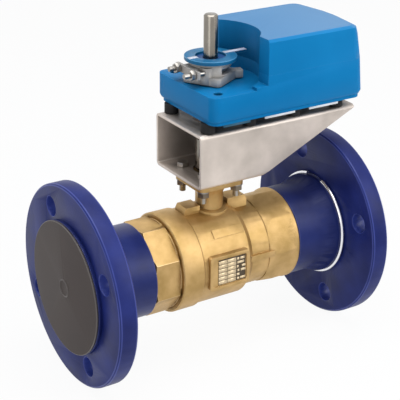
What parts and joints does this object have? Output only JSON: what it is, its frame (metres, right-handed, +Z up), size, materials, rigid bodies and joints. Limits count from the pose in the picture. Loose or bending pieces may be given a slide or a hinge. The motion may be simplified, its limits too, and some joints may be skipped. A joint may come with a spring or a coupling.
{
  "type": "motorised flanged ball valve",
  "caption": "Brass ball valve with loose blue flanges on screwed adaptors and an electric quarter-turn actuator on a steel bracket above the stem.",
  "frame": {"origin": "centre of the inlet flange's bolting face, on the pipe axis", "axes": "+X along the pipe from the inlet to the outlet, +Y to the back, +Z up the stem"},
  "size_m": [0.3138, 0.185, 0.3175],
  "materials": {
    "flange_blue": "satin blue paint",
    "adaptor_blue": "satin blue paint",
    "brass": "sand-blasted forged brass",
    "cap_plastic": "matte moulded",
    "spring_steel": "bright spring wire",
    "bracket_steel": "brushed stainless sheet",
    "zinc_steel": "bright zinc plate",
    "rubber": "matte",
    "case_blue": "gloss blue paint",
    "shaft_steel": "ground bright",
    "hub_cast": "as cast, satin",
    "indicator_blue": "moulded",
    "ball_chrome": "polished plate",
    "ptfe": "smooth",
    "gear_steel": "cut and hardened",
    "plate_steel": "pressed sheet",
    "base_alloy": "satin",
    "motor_steel": "satin black",
    "board_green": "glass-fibre laminate",
    "terminal_green": "moulded",
    "gland_plastic": "moulded"
  },
  "bodies": {
    "valve": {"valve_body": "brass", "end_connector": "brass", "inlet_seat": "ptfe", "outlet_seat": "ptfe", "thrust_washer": "ptfe", "body_seal": "rubber", "inlet_adaptor": "adaptor_blue", "outlet_adaptor": "adaptor_blue", "inlet_snap_ring": "spring_steel", "outlet_snap_ring": "spring_steel", "mounting_bracket": "bracket_steel", "bracket_screws": "zinc_steel", "bracket_washers": "zinc_steel", "bracket_nuts": "zinc_steel", "feet": "rubber", "mount_screws": "zinc_steel", "hub_bushes": "ptfe", "gear_pins": "gear_steel", "gear_plate": "plate_steel", "plate_posts": "zinc_steel", "motor": "motor_steel", "base_plate": "base_alloy", "actuator_housing": "case_blue", "housing_screws": "zinc_steel", "actuator_cover": "case_blue", "cover_screws": "zinc_steel", "circuit_board": "board_green", "board_posts": "zinc_steel", "terminal_block": "terminal_green", "cable_gland": "gland_plastic", "gland_locknut": "gland_plastic", "gland_nut": "gland_plastic"},
    "inlet_flange": {"inlet_flange": "flange_blue"},
    "outlet_flange": {"outlet_flange": "flange_blue"},
    "inlet_cap": {"inlet_cap": "cap_plastic"},
    "outlet_cap": {"outlet_cap": "cap_plastic"},
    "drive": {"ball": "ball_chrome", "stem": "brass", "stem_seals": "rubber", "drive_shaft": "shaft_steel", "shaft_set_screw": "zinc_steel", "drive_hub": "hub_cast", "clamp_saddle": "hub_cast", "u_bolt": "zinc_steel", "clamp_nuts": "zinc_steel", "indicator_ring": "indicator_blue", "output_gear": "gear_steel"},
    "gear_one": {"gear_one": "gear_steel"},
    "gear_two": {"gear_two": "gear_steel"},
    "motor_pinion": {"motor_pinion": "gear_steel"}
  },
  "joints": [
    {"name": "stem_turn", "type": "hinge", "parent": "valve", "child": "drive", "pos_m": [0.1445, 0, 0], "axis": [0, 0, 1], "range_deg": [-90, 0]},
    {"name": "gear_one_spin", "type": "hinge", "parent": "valve", "child": "gear_one", "pos_m": [0.18725, 0, 0.15], "axis": [0, 0, 1], "range_deg": [0, 252]},
    {"name": "gear_two_spin", "type": "hinge", "parent": "valve", "child": "gear_two", "pos_m": [0.21725, 0, 0.155], "axis": [0, 0, 1], "range_deg": [-756, 0]},
    {"name": "motor_spin", "type": "hinge", "parent": "valve", "child": "motor_pinion", "pos_m": [0.24725, 0, 0.158], "axis": [0, 0, 1], "range_deg": [0, 2268]},
    {"name": "inlet_flange_turn", "type": "hinge", "parent": "valve", "child": "inlet_flange", "pos_m": [0, 0, 0], "axis": [1, 0, 0], "continuous": true},
    {"name": "outlet_flange_turn", "type": "hinge", "parent": "valve", "child": "outlet_flange", "pos_m": [0.284, 0, 0], "axis": [1, 0, 0], "continuous": true},
    {"name": "inlet_cap_pull", "type": "slide", "parent": "valve", "child": "inlet_cap", "axis": [-1, 0, 0], "range_m": [0, 0.05]},
    {"name": "outlet_cap_pull", "type": "slide", "parent": "valve", "child": "outlet_cap", "axis": [1, 0, 0], "range_m": [0, 0.05]}
  ],
  "couplings": [
    {"joint": "gear_one_spin", "follows": "stem_turn", "ratio": -2.8},
    {"joint": "gear_two_spin", "follows": "stem_turn", "ratio": 8.4},
    {"joint": "motor_spin", "follows": "stem_turn", "ratio": -25.2}
  ]
}
